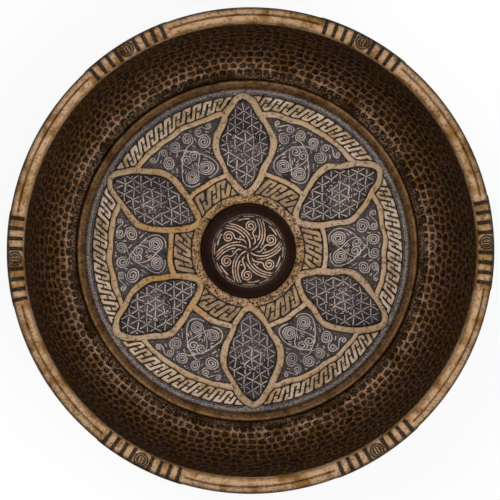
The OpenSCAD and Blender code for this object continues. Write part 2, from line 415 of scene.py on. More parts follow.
def add_node(tree, kind, values, **settings):
    """Adds a node with its settings and its input sockets linked or set."""
    node = tree.nodes.new("ShaderNode" + kind)
    for name, setting in settings.items():
        setattr(node, name, setting)
    put(node, values)
    return node


def patina(
    name, hollow, ridge, tint, grain=1.0, bump=0.2, wear=0.3, pits=0.5, drift=0.0, fade=None, gloss=0.2
):
    """Worn metal: dark in the hollows, light on the ridges, with blotches of a second tint and pits; the
    relief value that places hollow and ridge also carries painted light and shade.
    """
    material = bpy.data.materials.get(name)
    if material:
        return material
    material = bpy.data.materials.new(name)
    material.use_nodes = True
    tree = material.node_tree
    place = add_node(tree, "TexCoord", {}).outputs["Object"]
    # Scales of the noises, in features to the metre
    fine_scale, rough_scale, pit_scale, blotch_scale = 1900, 1100, 700, 110

    def clouds(scale, detail, roughness):
        values = {"Vector": place, "Scale": scale * grain, "Detail": detail, "Roughness": roughness}
        return add_node(tree, "TexNoise", values).outputs["Fac"]

    def spread(value, low, high, start, end):
        values = {"Value": value, "From Min": low, "From Max": high, "To Min": start, "To Max": end}
        return add_node(tree, "MapRange", values, interpolation_type="SMOOTHSTEP").outputs["Result"]

    def blend(factor, first, second, kind="MIX"):
        first, second = (s if isinstance(s, NodeSocket) else (*s, 1.0) for s in (first, second))
        node = add_node(tree, "Mix", {0: factor, 6: first, 7: second}, data_type="RGBA", blend_type=kind)
        return node.outputs[2]

    def total(first, second):
        node = add_node(tree, "Math", {0: first, 1: second}, operation="ADD", use_clamp=True)
        return node.outputs["Value"]

    fine = clouds(fine_scale, 3.0, 0.6)
    # The relief value: chased relief together with painted light and shade
    height = add_node(tree, "Attribute", {}, attribute_name="relief").outputs["Fac"]
    worn = total(height, spread(fine, 0.3, 0.7, -wear, wear))
    warmed = spread(clouds(blotch_scale, 4.0, 0.6), 0.42, 0.64, 0.0, 1.0 - drift)
    if drift:
        # More of the tint round one worn place beside the boss
        worn_place, near, far = (-28 * MM, 2 * MM, 0.0), 16 * MM, 46 * MM
        away = add_node(tree, "VectorMath", {0: place, 1: worn_place}, operation="DISTANCE")
        warmed = total(warmed, spread(away.outputs["Value"], near, far, drift, 0.0))
    # Painted shade: the ridge colour darkens towards a second colour between two heights
    if fade:
        shade, low, high, share = fade
        level = add_node(tree, "SeparateXYZ", {"Vector": place}).outputs["Z"]
        ridge = blend(spread(level, low, high, 0.0, share), ridge, shade)
    coloured = blend(worn, hollow, blend(warmed, ridge, tint))
    speck = spread(clouds(pit_scale, 2.0, 0.5), 0.33, 0.48, 0.0, 1.0)
    dusty = blend(1.0, coloured, blend(speck, (1.0 - pits,) * 3, (1.0, 1.0, 1.0)), "MULTIPLY")
    rough = clouds(rough_scale, 5.0, 0.65)
    bumps = add_node(tree, "Bump", {"Strength": bump, "Distance": 0.2 * MM, "Height": rough})
    values = {
        "Metallic": 0.25,
        "Specular IOR Level": gloss,
        "Base Color": dusty,
        "Roughness": spread(fine, 0.25, 0.75, 0.5, 0.72),
        "Normal": bumps.outputs["Normal"],
    }
    put(tree.nodes["Principled BSDF"], values)
    return material


def tinted(shade, red, green, blue):
    """A colour with its three channels scaled."""
    return tuple(channel * share for channel, share in zip(shade, (red, green, blue)))


def darker(shade, share):
    """A colour with all its channels scaled alike."""
    return tinted(shade, share, share, share)


def grey_finish():
    """Tinned grey of the petal and scroll panels."""
    tone = bpy.context.scene.bath_bowl_colours
    cool = tinted(tone.grey_ridge, 0.62, 0.66, 0.74)
    return patina("tinned_grey", tone.grey_hollow_and_shadow, tone.grey_ridge, cool, wear=0.25, pits=0.3)


# Petal geometry


def petal_half(lay, sizes, end):
    """The two curves of half a petal's side: blunt end to waist, waist to shoulder."""
    half, waist, belly = sizes.petal_half, sizes.petal_waist, lay.belly_r
    run = belly - end
    rise = half - waist
    waist_r = end + run / 2
    # Handles of the curves, as shares of the waist, the run and the rise
    blunt, before, dip, after, climb, shoulder = 0.36, 0.2, 0.4, 0.12, 0.24, 0.22
    into_waist = (waist_r - before * run, waist - dip * rise)
    from_waist = (waist_r + after * run, waist + climb * rise)
    return (
        ((end, 0.0), (end, blunt * waist), into_waist, (waist_r, waist)),
        ((waist_r, waist), from_waist, (belly - shoulder * run, half), (belly, half)),
    )


def petal_side(lay):
    """Centre line of one side of a petal strap, from tip to foot, with the petal along +X."""
    sizes = bpy.context.scene.bath_bowl_sizes
    steps = 14
    halves = []
    for end in (lay.tip_r, lay.petal_foot_r):
        first, second = (interpolate_bezier(*map(Vector, c), steps) for c in petal_half(lay, sizes, end))
        halves.append([Vector(p).to_2d() for p in first + second[1:]])
    return halves[0] + halves[1][-2::-1]


def petal_offset(line, out):
    """The side of a petal, moved out from its centre line, with its ends on the petal's axis."""
    aside = Vector((out, 0.0))
    ends = (line[0] + aside, line[-1] - aside)
    moved = []
    for before, point, after in zip(line, line[1:], line[2:]):
        way = (after - before).normalized()
        place = point + out * Vector((way.y, -way.x))
        moved.append(place if place.y > 0 else min(ends, key=lambda end: (end - place).length))
    return [ends[0], *moved, ends[1]]


def petal_angle(line, radius):
    """Angle between a petal's axis and its side at a distance from the bowl's axis."""
    reach = [p.length for p in line]
    angles = [math.atan2(p.y, p.x) for p in line]
    return float(np.interp(radius, reach[::-1], angles[::-1]))


def petal_reach(line, inset):
    """A test whether a point lies inside a petal, clear of its strap by an inset."""
    inner = petal_offset(line, -inset)
    xs = [p.x for p in inner][::-1]
    ys = [p.y for p in inner][::-1]
    return lambda p: xs[0] < p.x < xs[-1] and abs(p.y) < np.interp(p.x, xs, ys)


def clipped(strokes, inside, step, shortest):
    """The stretches of strokes that pass a test, cut into short steps."""
    kept = []
    for stroke in strokes:
        run = []
        for start, end in zip(stroke, stroke[1:]):
            count = max(1, round((end - start).length / step))
            points = [start.lerp(end, i / count) for i in range(count)]
            for place in points + ([end] if end is stroke[-1] else []):
                if inside(place):
                    run.append(place)
                else:
                    kept.append(run)
                    run = []
        kept.append(run)
    return [run for run in kept if len(run) > 1 and (run[0] - run[-1]).length > shortest]


# Pieces


def hammered(lay, sizes, places, inside, spacing, depth, foot_plain, top_plain, generator):
    """Depth and relief of hammer marks in staggered rows over one side of the wall."""
    radius = radii(places)
    angle = np.arctan2(places[:, 1], places[:, 0])
    lean = np.arctan2(lay.turn_z - places[:, 2], radius - lay.wall_x)
    reach = lay.wall_r if inside else lay.wall_r + sizes.wall
    along = np.where(
        places[:, 2] < lay.turn_z,
        reach * (lay.foot_angle - lean),
        reach * lay.foot_angle + places[:, 2] - lay.turn_z,
    )
    along -= foot_plain
    length_along = reach * lay.foot_angle + sizes.wall_straight - foot_plain
    row_count = int((length_along - top_plain) / spacing)
    # Shares of the spacing by which marks stray: up and down, for the first rows and the others, and aside
    strays, aside = (0.07, 0.12, 0.26), 0.28
    rows = []
    for row in range(row_count):
        middle = (row + 0.5) * spacing
        row_lean = max(lay.foot_angle - middle / reach, 0.0)
        row_r = lay.wall_x + reach * math.cos(row_lean)
        count = round(math.tau * row_r / spacing)
        shift = 0.5 * (row % 2) + 0.25 * generator.random()
        spots = (np.arange(count) + shift + generator.uniform(-aside, aside, count)) * math.tau / count
        stray = strays[min(row, 2)]
        heights = middle + generator.uniform(-stray, stray, count) * spacing
        rows.append((count, shift, spots, heights, generator.uniform(0.45, 1.2, count)))
    # Distances to the nearest and the second nearest mark, whose difference is 0 along the ridges
    far_off = 9.0
    nearest = np.full(len(places), far_off)
    second = np.full(len(places), far_off)
    strength = np.ones(len(places))
    row_here = np.floor(along / spacing).astype(int)
    for step in (-1, 0, 1):
        for row, (count, shift, spots, heights, strengths) in enumerate(rows):
            chosen = np.where(row_here + step == row)[0]
            base = np.round(angle[chosen] / math.tau * count - shift).astype(int)
            for beside in (-1, 0, 1):
                index = (base + beside) % count
                gap = np.angle(np.exp(1j * (angle[chosen] - spots[index]))) * radius[chosen]
                distance = np.hypot(gap, along[chosen] - heights[index])
                old = nearest[chosen]
                closer = distance < old
                second[chosen] = np.where(closer, old, np.minimum(second[chosen], distance))
                nearest[chosen] = np.where(closer, distance, old)
                strength[chosen] = np.where(closer, strengths[index], strength[chosen])
    edge = (second - nearest) / spacing
    row_place = along / spacing
    end = ramp(0.0, 0.25, row_place) * (1 - ramp(row_count - 0.6, row_count + 0.1, row_place))
    # Shares of the spacing: reach of a mark's slope, of its lit ridge and of the line above the first row
    slope, ridge_low, ridge_high, line_half = 0.62, 0.04, 0.28, 0.12
    mark = ramp(0.0, slope, edge) * strength * end
    # Painted shade: dark at the foot, where the bezel shades the wall, and duller high on the steep wall,
    # where less light falls; brighter along the lip
    foot_shade, upper_wall_shade, bright_lip = 0.87, 0.52, 0.5
    foot_run, dull_from, dull_to, lip_from, lip_to = 3.4 * MM, 11 * MM, 24 * MM, 2.6 * MM, 1.0 * MM
    lit = 1 - foot_shade + foot_shade * ramp(0.0, foot_run, along)
    lit *= 1 - upper_wall_shade * ramp(dull_from, dull_to, along)
    lit += bright_lip * ramp(length_along - lip_from, length_along - lip_to, along)
    weak_lit, line_lit = 0.12, 0.5
    floor = weak_lit * np.clip(1.0 - strength, 0, 1)
    ridge = lit * (1 - (1 - floor) * ramp(ridge_low, ridge_high, edge) * end)
    first_line = line_lit * strength * bell(row_place - 1, line_half)
    return depth * mark, np.maximum(ridge, first_line)


class BATHBOWL_OT_shell(Operator):
    """Raise the shell and hammer its wall"""

    bl_idname = "bath_bowl.shell"
    bl_label = "Hammered shell"

    def execute(self, context):
        sizes, tone, lay = kit(context)
        outer = lay.wall_r + sizes.wall
        heel_x = lay.wall_x + outer * math.cos(lay.foot_angle)
        heel_z = lay.turn_z - outer * math.sin(lay.foot_angle)
        base_round = heel_z / (1 - math.sin(lay.foot_angle))
        base_x = heel_x - base_round * math.cos(lay.foot_angle)
        recess = lay.medallion_r + sizes.fit_gap
        hole = sizes.boss - sizes.boss_wall
        profile = [(hole, 0.0), ((hole + base_x) / 2, 0.0)]
        profile += arc(base_x, base_round, base_round, -math.pi / 2, -lay.foot_angle, 6)
        profile += arc(lay.wall_x, lay.turn_z, outer, -lay.foot_angle, 0.0, 16)[1:]
        profile += [
            (lay.mouth_r + sizes.wall, lay.lip_z - sizes.wall),
            (lay.lip_r, lay.lip_z - sizes.wall),
            (lay.lip_r, lay.lip_z),
            (lay.mouth_r, lay.lip_z),
            (lay.mouth_r, lay.lip_z - sizes.wall_straight / 3),
            (lay.mouth_r, lay.lip_z - sizes.wall_straight * 2 / 3),
        ]
        profile += arc(lay.wall_x, lay.turn_z, lay.wall_r, 0.0, -lay.foot_angle, 80)
        profile += [(recess, lay.ledge_z), (recess, lay.floor_z), (hole, lay.floor_z)]
        bm = spun(profile, steps=816, sectors=24)
        places = np.array([corner.co for corner in bm.verts])
        radius = radii(places)
        from_centre = np.hypot(radius - lay.wall_x, places[:, 2] - lay.turn_z)
        upright = (places[:, 2] > lay.turn_z) & (places[:, 2] < lay.lip_z - 0.1 * MM)
        near = 0.02 * MM
        base_relief, outer_relief, outer_share = 0.16, 0.25, 0.5
        relief = np.full(len(places), base_relief)
        generator = np.random.default_rng(SEED)
        # Spacing and depth of the marks, plain stretches at foot and top
        inner_marks = (sizes.dimple, sizes.dimple_depth, 1.7 * MM, 1.0 * MM)
        outer_marks = (sizes.facet, sizes.facet_depth, 0.0, 3.0 * MM)
        for inside, reach, side, marks in (
            (True, lay.wall_r, lay.mouth_r, inner_marks),
            (False, outer, lay.mouth_r + sizes.wall, outer_marks),
        ):
            bent = (np.abs(from_centre - reach) < near) & (places[:, 2] <= lay.turn_z + near)
            bent &= places[:, 2] > heel_z - near
            chosen = np.where(bent | (upright & (np.abs(radius - side) < near)))[0]
            sunk, ridge = hammered(lay, sizes, places[chosen], inside, *marks, generator)
            lean = np.arctan2(np.minimum(places[chosen, 2] - lay.turn_z, 0.0), radius[chosen] - lay.wall_x)
            move = sunk if inside else -sunk
            share = 1 + move * np.cos(lean) / radius[chosen]
            places[chosen, 0] *= share
            places[chosen, 1] *= share
            places[chosen, 2] += move * np.sin(lean)
            relief[chosen] = ridge if inside else outer_relief + outer_share * ridge
        for corner, place in zip(bm.verts, places):
            corner.co = place
        material = patina(
            "hammered_bronze",
            tone.shell_hollow_and_shade,
            tone.shell_ridge,
            tone.shell_olive,
            grain=0.8,
            bump=0.6,
            wear=0.38,
            # Painted shade high on the wall: the ridges darken towards the upper shade colour from a height
            # of 5 mm to 14 mm
            fade=(tone.shell_upper_shade, 5 * MM, 14 * MM, 0.9),
            gloss=0.1,
        )
        finish_piece("bowl_shell", "bowl_body", bm, relief, material, smooth_angle=60.0)
        return {"FINISHED"}


class BATHBOWL_OT_rim(Operator):
    """Turn the rim band and chase its groove, bars and cartouches"""

    bl_idname = "bath_bowl.rim"
    bl_label = "Chased rim"

    def execute(self, context):
        sizes, tone, lay = kit(context)
        soft = sizes.rim_round
        crown_z = lay.top_z - soft
        flat = sizes.rim_width - 2 * soft
        profile = [(lay.mouth_r, lay.lip_z), (lay.mouth_r, (lay.lip_z + crown_z) / 2)]
        profile += arc(lay.mouth_r + soft, crown_z, soft, math.pi, math.pi / 2, 8)
        profile += [(lay.mouth_r + soft + flat * i / 16, lay.top_z) for i in range(1, 16)]
        profile += arc(lay.rim_r - soft, crown_z, soft, math.pi / 2, 0.0, 8)
        profile += [
            (lay.rim_r, lay.lip_z),
            (lay.rim_r, lay.skirt_z),
            (lay.rim_r - sizes.skirt, lay.skirt_z),
            (lay.rim_r - sizes.skirt, lay.lip_z),
        ]
        # Fine steps over a group of bars, coarse ones over the plain stretch after it
        half_group, fine_steps, coarse_steps = math.radians(13), 208, 36
        sector = bmesh.new()
        corners = [sector.verts.new(polar(r, -half_group, z)) for r, z in profile]
        last = corners + [sector.edges.new(pair) for pair in zip(corners, corners[1:] + corners[:1])]
        last = spin(sector, last, 2 * half_group, fine_steps)
        spin(sector, last, SECTOR - 2 * half_group, coarse_steps)
        bm = all_round(sector, PETALS)
        relief = [self.chase(corner, sizes, lay, crown_z) for corner in bm.verts]
        material = patina("worn_rim", tone.rim_hollow_and_shade, tone.rim_ridge, tone.rim_warm, grain=1.3)
        finish_piece("rim_band_chased", "rim_band", bm, relief, material, smooth_angle=50.0)
        return {"FINISHED"}

    def chase(self, corner, sizes, lay, crown_z):
        """Sinks one corner of the band into the chased work and returns its relief."""
        width, soft = sizes.rim_width, sizes.rim_round
        radius = math.hypot(corner.co.x, corner.co.y)
        # Painted light and shade on the sides below the crown: the inner side is painted fully bright
        # against the shade that falls on it, the outer side half dark
        inner_side, outer_side = 1.0, 0.5
        if corner.co.z < crown_z - 0.3 * MM:
            return inner_side if radius < lay.mouth_r + MM else outer_side
        angle = math.atan2(corner.co.y, corner.co.x)
        local = (angle + SECTOR / 2) % SECTOR - SECTOR / 2
        middle_r = lay.mouth_r + width / 2
        across = abs(local) * middle_r
        from_inner = radius - lay.mouth_r
        from_outer = width - from_inner
        slope = np.clip(1 - from_outer / soft, 0, 1) - np.clip(1 - from_inner / soft, 0, 1)
        # The groove and the two beads beside it run from group to group
        group = sizes.bar_count * sizes.bar_pitch
        running = ramp(group + math.radians(1.1), group + math.radians(1.9), abs(local))
        groove_half, groove_sway, bead_fall, bead_half = 0.3 * MM, 0.7 * MM, 0.22 * MM, 1.6 * MM
        sway = groove_sway * noise.noise(polar(2.5, angle))
        off_groove = (from_inner - sizes.groove_in - sway) / groove_half
        depth = sizes.groove_depth * running * bell(off_groove, 1.0)
        bead = sizes.groove_in / 2 if from_inner < sizes.groove_in else (sizes.groove_in + width) / 2
        depth += bead_fall * running * ((from_inner - bead) / bead_half) ** 2
        # A gap between bars is a flat bed with a sharp line on either side
        gap = painted_bar_shade = 0.0
        pitch = sizes.bar_pitch * middle_r
        bar = min(max(round(across / pitch), 1), sizes.bar_count)
        middle = across - bar * pitch
        if abs(middle) < 2 * MM:
            line, apart = 0.32 * MM, 0.48 * MM
            bed = 0.92 * math.exp(-((middle / (2 * line)) ** 4))
            gap = max(bed, bell(middle - apart, line), bell(middle + apart, line))
            # Painted shade: the bars darken towards each gap, standing in for the shading of rounded bars
            painted_bar_shade = bell(middle, 1.5 * MM)
        # A cartouche is a hatched oval with two lines round it
        oval_wide, oval_long, hatch_pitch, ring_line, inner_ring = 2.7 * MM, 2.9 * MM, 1.1 * MM, 0.14, 0.62
        oval = math.hypot(across / oval_wide, (from_inner - 0.5 * width) / oval_long)
        hatch = ramp(0.5, 0.4, oval) * (0.5 + 0.5 * math.cos(math.tau * across / hatch_pitch))
        gap = max(gap, hatch, bell(oval - 1.0, ring_line), bell(oval - inner_ring, ring_line))
        gap *= ramp(0.15 * MM, 0.6 * MM, from_outer)
        depth += sizes.bar_depth * gap
        corner.co.z -= depth * (1 - abs(slope))
        share = 1 - depth * slope / radius
        corner.co.x *= share
        corner.co.y *= share
        # Painted shade: the bars' flanks darken towards the gaps, the outer rounding darkens towards the
        # outer edge, and the outer bead is painted darker than the inner bead, which stands in for a
        # highlight along the inner bead
        gap_dark, flank_shade, groove_dark, bead_dark, edge_shade = 1.2, 0.35, 0.45, 0.18, 0.98
        groove = groove_dark * running * bell(off_groove, 1.4)
        lit = max(0.0, 1 - max(gap_dark * gap, flank_shade * painted_bar_shade, groove))
        outer_bead = running * ramp(-0.2, 0.3, (from_inner - sizes.groove_in) / MM)
        edge = 1 - edge_shade + edge_shade * ramp(0.35 * MM, 2.4 * MM, from_outer)
        return lit * edge * (1 - bead_dark * outer_bead)


class BATHBOWL_OT_bezel(Operator):
    """Turn the half-round moulding round the medallion"""

    bl_idname = "bath_bowl.bezel"
    bl_label = "Bezel"

    def execute(self, context):
        sizes, tone, lay = kit(context)
        half = sizes.bezel_width / 2
        middle = lay.bezel_r - half
        rise = lay.bezel_z - lay.ledge_z
        steps, line_depth = 32, 0.1 * MM
        # Places of the scored lines across the moulding, from -1 inside to 1 outside
        inner_lines, outer_line = (-0.6, -0.2), 0.6
        profile = []
        for i in range(steps + 1):
            angle = math.pi * i / steps
            across = math.cos(angle)
            line = line_depth * sum(bell(across - c, 0.07) for c in (*inner_lines, outer_line))
            profile.append((middle + half * across, lay.ledge_z + max(rise * math.sin(angle) - line, 0.0)))
        bm = spun(profile, steps=288)

        def relief(places):
            out = (radii(places) - middle) / half
            # Painted light and shade across the moulding: a lit bead, and the outer side painted dark as
            # shade; the scored lines are dark
            edge_lit, inner_lit, line_dark, bead_lit = 0.24, 0.16, 0.14, 0.5
            lines = sum(bell(out - c, 0.09) for c in inner_lines)
            inner = edge_lit + inner_lit * ramp(-1.0, -0.7, out) - line_dark * lines
            bead = bead_lit * ramp(-0.12, 0.06, out) - ramp(0.4, 0.68, out)
            return np.clip(inner + bead, 0, 1)

        material = patina("bezel_patina_and_shade", tone.bezel_hollow_and_shade, tone.bezel_ridge, tone.bezel_warm)
        finish_piece("bezel_moulding", "bezel_ring", bm, relief, material, smooth_angle=60.0)
        return {"FINISHED"}


# Half of a strap's section, from its foot towards its middle, as shares of its half width and its height
STRAP_HALF = ((1.0, 0.0), (0.98, 0.45), (0.88, 0.8), (0.72, 0.97))
STRAP_SECTION = (*((-x, z) for x, z in STRAP_HALF), (0.0, 1.0), *reversed(STRAP_HALF))


def arc_strap(bm, inner, outer, base, rise, start, end, steps):
    """A strap that follows a circle round the bowl's axis."""
    rows = len(STRAP_SECTION)
    middle, half = (inner + outer) / 2, (outer - inner) / 2

    def place(column, row):
        across, height = STRAP_SECTION[row % rows]
        return polar(middle + half * across, start + (end - start) * column / steps, base + rise * height)

    lattice(bm, steps, rows, place)


class BATHBOWL_OT_margin(Operator):
    """Finish the plain grey ring and the hidden backing plate"""

    bl_idname = "bath_bowl.margin"
    bl_label = "Margin and backing plate"

    def execute(self, context):
        sizes, tone, lay = kit(context)
        level = lay.panel_z
        bead_r, bead = lay.margin_in + 1.3 * MM, 0.15 * MM
        # The joint ring between the margin and the bezel is a thin dark sheet: painted shadow where they
        # meet
        joint_shadow_r, bezel_in = lay.medallion_r - 1.3 * MM, lay.bezel_r - sizes.bezel_width
        thin = 0.06 * MM
        bead_section = [(bead_r + bead * x, level + bead * z) for x, z in ((-1, -1), (0, 1), (1, -1))]
        joint_shadow_corners = ((joint_shadow_r, -1), (joint_shadow_r, 1), (bezel_in, 1), (bezel_in, -1))
        joint_shadow_section = [(r, level + thin * z) for r, z in joint_shadow_corners]
        shadows = bmesh.new()
        shadow_in, shadow_out = lay.margin_in + 0.06 * MM, lay.margin_in + 0.66 * MM
        clear = 4.6 * MM / lay.margin_in
        for k in range(PETALS):
            start, end = SECTOR * (k + 0.5) + clear, SECTOR * (k + 1.5) - clear
            arc_strap(shadows, shadow_in, shadow_out, level - thin, 2 * thin, start, end, 40)
        close_up(shadows)
        bm = solid_copy("margin_ring")
        for part in (spun(bead_section, steps=180), spun(joint_shadow_section, steps=180), shadows):
            add_bmesh(bm, part)
            part.free()

        def relief(places):
            out = radii(places)
            above = places[:, 2] - level
            # Low values: painted shadow on the joint ring and on the shadow strips
            plain_lit, bead_lit, joint_shadow_lit = 0.3, 0.4, 0.2
            lit = plain_lit + bead_lit * (above > 0.1 * MM)
            lit = np.where((above > 0.02 * MM) & (out < lay.margin_in + 0.8 * MM), 0.0, lit)
            return np.where(out < joint_shadow_r - 0.1 * MM, lit, joint_shadow_lit)

        cool = tinted(tone.grey_ridge, 0.7, 0.75, 0.86)
        material = patina("margin_grey", tone.grey_hollow_and_shadow, tone.grey_ridge, cool, wear=0.38)
        piece = finish_piece("margin_band", "margin_ring", bm, relief, material)
        piece.data.materials.append(bpy.data.materials["bezel_patina_and_shade"])
        # The joint ring takes the bezel's finish, dark as painted shadow
        for face in piece.data.polygons:
            reach = min(piece.data.vertices[corner].co.xy.length for corner in face.vertices)
            if face.center.z > level - 0.1 * MM and reach > joint_shadow_r - 0.05 * MM:
                face.material_index = 1
        hidden = patina("plate_bronze", tone.bezel_hollow_and_shade, tone.bezel_ridge, tone.bezel_hollow_and_shade)
        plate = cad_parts["medallion_plate"]
        plate.data.materials.clear()
        plate.data.materials.append(hidden)
        return {"FINISHED"}


class BATHBOWL_OT_straps(Operator):
    """Lay the brass lattice: petal frames, arcs and the ring round the boss"""

    bl_idname = "bath_bowl.straps"
    bl_label = "Strapwork"

    def execute(self, context):
        sizes, tone, lay = kit(context)
        line = petal_side(lay)
        base, rise = lay.plate_z, lay.strap_z - lay.plate_z
        arc_rise, ring_rise = 0.94 * rise, 0.97 * rise
        arcs = ((lay.outer_arc_in, lay.outer_arc_out), (lay.inner_arc_in, lay.inner_arc_out))
        bm = bmesh.new()
        for k in range(PETALS):
            self.petal_frame(bm, line, sizes.petal_strap / 2, base, rise, SECTOR * (k + 0.5))
            for inner, outer in arcs:
                beside = petal_angle(line, (inner + outer) / 2)
                start, end = SECTOR * (k + 0.5) + beside, SECTOR * (k + 1.5) - beside
                arc_strap(bm, inner, outer, base, arc_rise, start, end, 40)
        # The ring reaches a little past its solid, over the gaps beside it
        ring_low, ring_high = lay.ring_in - 0.4 * MM, lay.ring_out + 0.14 * MM
        arc_strap(bm, ring_low, ring_high, base, ring_rise, 0.0, math.tau, 180)
        close_up(bm)
        shake, shake_size = 0.11 * MM, 2.2 * MM
        noise.seed_set(SEED)
        for corner in bm.verts:
            push = noise.noise_vector(corner.co / shake_size) * shake
            corner.co.x += push.x
            corner.co.y += push.y
        # Painted shadow: the straps darken down their flanks, standing in for the shade in the gaps beside
        # them
        height = by_height(base + 0.6 * rise, base + 0.92 * rise)

        def relief(places):
            out = radii(places)
            frame_top = ramp(0.945, 0.965, (places[:, 2] - base) / rise)
            by_boss = 1 - ramp(ring_low, ring_low + 1.2 * MM, out)
            by_fret = ramp(ring_high - 1.6 * MM, ring_high - 0.6 * MM, out)
            # Painted light: the ring is painted brighter beside the boss, against the shade the boss throws
            # on it, and a little brighter towards the inner fret
            ring_lit, boss_lit, fret_lit, top_dark = 0.57, 0.33, 0.12, 0.15
            ring = ring_lit + boss_lit * by_boss + fret_lit * by_fret
            return np.where(out < ring_high + 0.01 * MM, ring, height(places) - top_dark * frame_top)

        tones = tone.strap_shade_and_wear, tone.strap_ridge, tone.strap_warm
        straps = patina("worn_straps", *tones, pits=0.55, drift=0.6)
        tones = tone.strap_shade_and_wear, tone.ring_worn, tone.strap_warm
        ring = patina("rubbed_ring", *tones, grain=0.6, wear=0.8, pits=0.7, drift=0.4)
        piece = finish_piece("strap_lattice", "strapwork", bm, relief, straps, smooth_angle=70.0, sway=True)
        piece.data.materials.append(ring)
        for face in piece.data.polygons:
            if face.center.xy.length < lay.ring_out:
                face.material_index = 1
        return {"FINISHED"}

    def petal_frame(self, bm, line, half, base, rise, angle):
        """One closed strap round a petal."""
        rows = len(STRAP_SECTION)
        sides = [petal_offset(line, half * across) for across, _ in STRAP_SECTION]
        loops = [side + [Vector((p.x, -p.y)) for p in side[-2:0:-1]] for side in sides]
        count = len(loops[0])
        turned = Matrix.Rotation(angle, 3, "Z")

        def place(column, row):
            across = row % rows
            flat = loops[across][column % count]
            return turned @ Vector((flat.x, flat.y, base + rise * STRAP_SECTION[across][1]))

        lattice(bm, count, rows, place)


def panels(kind, name, work, relief, material, turned=1.0, raised=(), smooth_angle=40.0):
    """Makes the six panels of a kind: each is its solid with the top sunk and chased work laid on it."""
    lay = layout()
    # Corners above the first height of a pair sink to the second
    levels = (*raised, ((lay.plate_z + lay.panel_z) / 2, lay.ground_z))
    for k in range(1, PETALS + 1):
        bm = solid_copy(f"{kind}_{k}")
        for corner in bm.verts:
            height = corner.co.z
            corner.co.z = next((level for above, level in levels if height > above), height)
        add_bmesh(bm, work, SECTOR * (k + turned))
        finish_piece(f"{name}_{k}", f"{kind}_{k}", bm, relief, material, smooth_angle, sway=True)
    work.free()


def tripod(centre, sizes):
    """Three strokes from a point: one outwards along the petal, two back to either side."""
    share = 0.79
    out = Vector((sizes.fret_row, 0.0))
    back = Vector((-sizes.fret_row / 2, sizes.fret_column))
    return [[centre, centre + share * arm] for arm in (out, back, Vector((back.x, -back.y)))]


def petal_strokes(lay, sizes):
    """Strokes of the tripod fret in the field and in the roundel, and the dashes of the roundel's ring."""
    inside = petal_reach(petal_side(lay), sizes.petal_strap / 2 + sizes.fit_gap + CHASE_INSET)
    middle = Vector((lay.belly_r, 0.0))
    strokes = []
    columns = int(sizes.petal_half / sizes.fret_column) + 1
    rows = int(0.75 * lay.margin_in / sizes.fret_row)
    for column in range(-columns, columns + 1):
        for row in range(rows):
            x = lay.ring_out + sizes.fret_row * (row + 0.5 * (column % 2))
            strokes += tripod(Vector((x, column * sizes.fret_column)), sizes)
    step, shortest = 0.4 * MM, 0.7 * MM
    clear, ring = sizes.roundel + 0.15 * MM, sizes.roundel - 0.4 * MM
    field = clipped(strokes, lambda p: inside(p) and (p - middle).length > clear, step, shortest)
    star = clipped(strokes, lambda p: (p - middle).length < ring - 0.3 * MM, step, shortest)
    dash_count, dash_points, dash_turn = 15, 6, 0.05
    dashes = []
    for start in np.linspace(0, math.tau, dash_count, endpoint=False):
        turns = [start + dash_turn * i for i in range(dash_points)]
        dashes.append([middle + polar(ring, turn).to_2d() for turn in turns])
    return field, star, dashes


class BATHBOWL_OT_petal_panels(Operator):
    """Chase the tripod fret and the star roundel of the petal panels"""

    bl_idname = "bath_bowl.petal_panels"
    bl_label = "Petal panels"

    def execute(self, context):
        sizes, _, lay = kit(context)
        field, star, dashes = petal_strokes(lay, sizes)
        roundel_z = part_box("petal_panel_1")[1].z - 0.15 * MM
        work = bmesh.new()
        for strokes, height, half_width in (
            (field, lay.ground_z + LINE_LIFT, sizes.fret_line),
            (star, roundel_z + 0.15 * MM, sizes.fret_line),
            (dashes, roundel_z + 0.05 * MM, 0.7 * sizes.fret_line),
        ):
            add_ridges(work, lifted(strokes, height), half_width, resolution=0, tip=0.9)

        def relief(places):
            flat = radii(places)
            turned = np.arctan2(places[:, 1], places[:, 0]) % SECTOR - SECTOR / 2
            off = np.hypot(flat * np.cos(turned) - lay.belly_r, flat * np.sin(turned))
            base = np.where(off < sizes.roundel + 0.05 * MM, roundel_z, lay.ground_z)
            line_lit, roundel_lit = 0.85, 0.15
            raised = ramp(0.02 * MM, 0.14 * MM, places[:, 2] - base)
            return line_lit * raised + roundel_lit * (off < sizes.roundel)

        raised = ((lay.panel_z + 0.1 * MM, roundel_z),)
        panels("petal_panel", "petal_fret", work, relief, grey_finish(), turned=0.5, raised=raised)
        return {"FINISHED"}


def spiral(centre, radius, turns, end_angle, way):
    """Points of a spiral from its eye out to its end; way is 1 anticlockwise, -1 clockwise."""
    eye, steps_per_turn, fewest = 0.16, 22, 10
    steps = max(fewest, round(turns * steps_per_turn))
    points = []
    for i in range(steps + 1):
        share = i / steps
        angle = end_angle - way * math.tau * turns * (1 - share)
        reach = radius * (eye + (1 - eye) * share)
        points.append(Vector((centre[0] + reach * math.cos(angle), centre[1] + reach * math.sin(angle))))
    return points


def joined(first, second, leave, meet):
    """Two strokes joined end to start by a smooth curve that leaves and meets them along their way."""
    out = first[-1] + (first[-1] - first[-2]).normalized() * leave
    into = second[0] - (second[1] - second[0]).normalized() * meet
    bridge = interpolate_bezier(first[-1], out, into, second[0], 22)
    return first[:-1] + [Vector(p).to_2d() for p in bridge] + second[1:]


